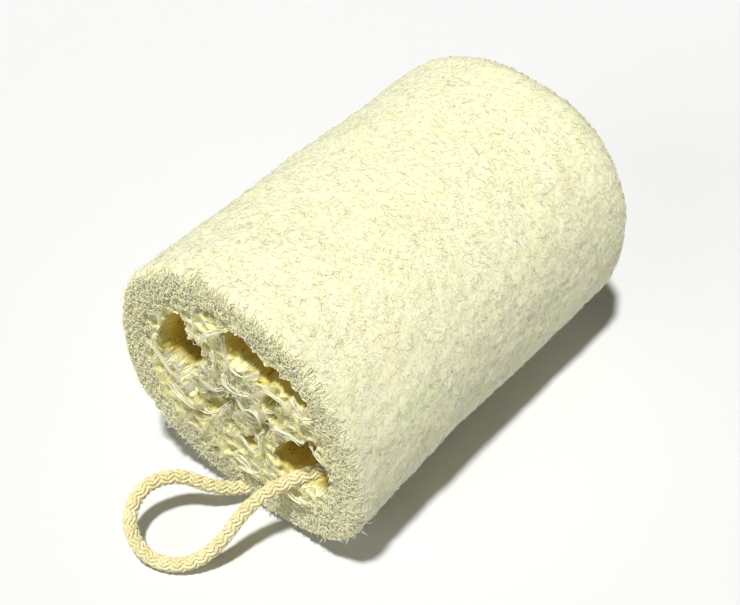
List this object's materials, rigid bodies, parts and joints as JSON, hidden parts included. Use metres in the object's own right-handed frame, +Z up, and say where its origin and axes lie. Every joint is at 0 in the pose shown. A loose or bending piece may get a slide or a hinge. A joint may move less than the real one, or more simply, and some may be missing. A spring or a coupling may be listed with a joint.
{
  "type": "loofah back scrubber",
  "caption": "Short segment of dried loofah with three open chambers along its length and a braided cotton hanging loop knotted inside one of them.",
  "frame": {"origin": "on the ground under the middle of the sponge, without its cord", "axes": "+Y along the sponge's long axis, away from the cut face that the cord leaves; +Z up"},
  "size_m": [0.0951, 0.1748, 0.0905],
  "materials": {
    "loofah_mat": "dry felted plant fibre",
    "loofah_inner": "dry open plant fibre",
    "chamber_skin": "smooth dry amber skin",
    "cotton_cord": "braided unbleached cotton"
  },
  "bodies": {
    "root": {"outer_mat_left": "loofah_mat", "outer_mat_top": "loofah_mat", "outer_mat_right": "loofah_mat", "septum_upper": "loofah_inner", "septum_right": "loofah_inner", "septum_lower": "loofah_inner", "core_column": "loofah_inner", "chamber_lining_left": "chamber_skin", "chamber_lining_top": "chamber_skin", "chamber_lining_right": "chamber_skin", "cord_loop": "cotton_cord", "cord_knot": "cotton_cord", "cord_tail_long": "cotton_cord", "cord_tail_short": "cotton_cord"}
  },
  "joints": []
}
